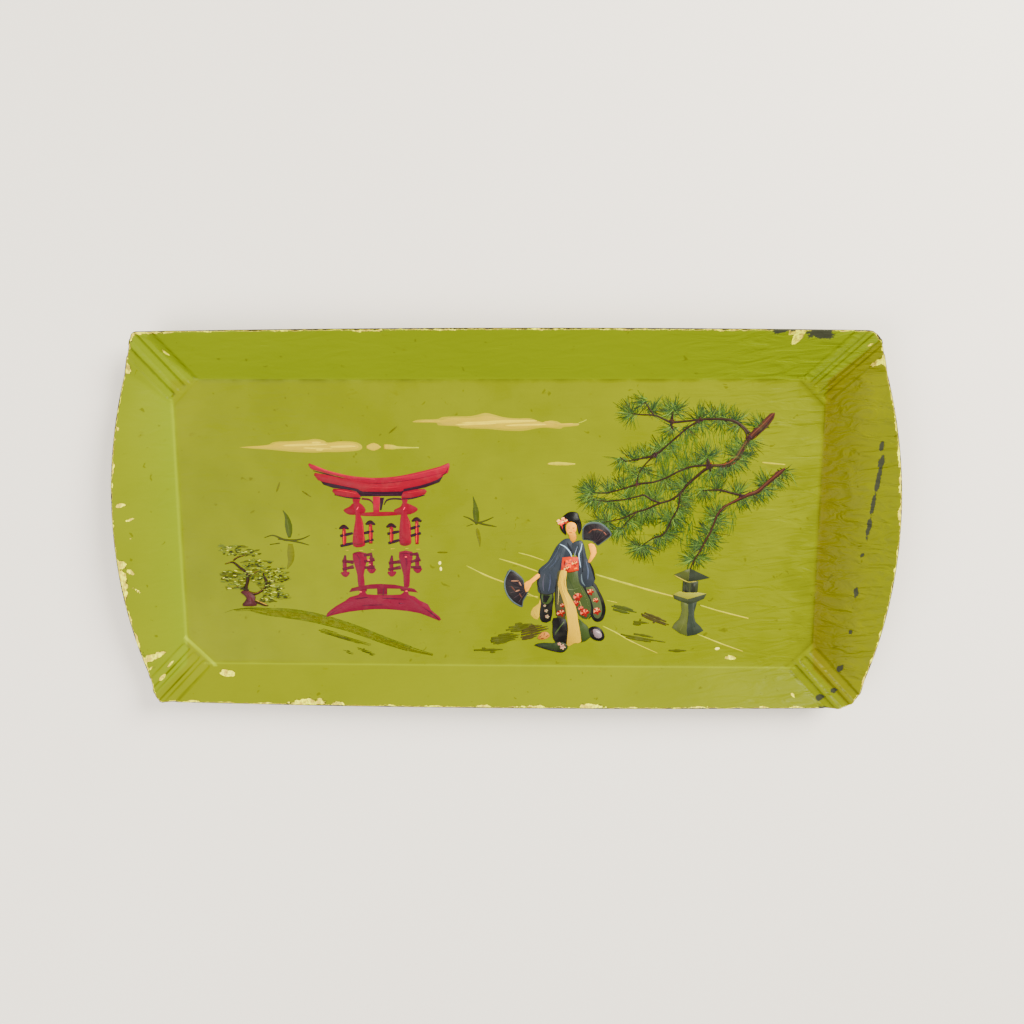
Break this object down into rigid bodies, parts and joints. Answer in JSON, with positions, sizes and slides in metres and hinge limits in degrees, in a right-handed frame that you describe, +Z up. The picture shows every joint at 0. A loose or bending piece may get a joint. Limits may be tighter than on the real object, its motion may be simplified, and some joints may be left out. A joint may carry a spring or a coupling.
{
  "type": "serving tray",
  "caption": "Shallow oblong serving tray of pressed board with wide sloping flanges, fluted corner panels, a lacquered face and a hand-painted garden scene.",
  "frame": {"origin": "under the middle of the rim's outline, on the plane the tray's floor rests on", "axes": "+X runs along the tray, +Y across it towards the clouds of the painted scene, +Z up out of the well"},
  "size_m": [0.404, 0.1992, 0.0212],
  "materials": {
    "board": "satin",
    "green_lacquer": "gloss",
    "cream_paint": "gloss",
    "crimson_paint": "gloss",
    "leaf_paint": "gloss",
    "robe_paint": "gloss",
    "fan_paint": "gloss",
    "stone_paint": "gloss",
    "bark_paint": "gloss",
    "needle_paint": "gloss",
    "shadow_paint": "gloss",
    "sail_paint": "gloss"
  },
  "bodies": {
    "root": {"tray_board": "board", "face_lacquer": "green_lacquer", "clouds": "cream_paint", "gate": "crimson_paint", "gate_reflection": "crimson_paint", "garden_pine": "leaf_paint", "shore_strokes": "shadow_paint", "dancer": "robe_paint", "left_fan": "fan_paint", "right_fan": "fan_paint", "stone_lantern": "stone_paint", "pine_branches": "bark_paint", "pine_needles": "needle_paint", "paving_lines": "cream_paint", "ground_shadows": "shadow_paint", "left_sailboat": "sail_paint", "right_sailboat": "sail_paint"}
  },
  "joints": []
}
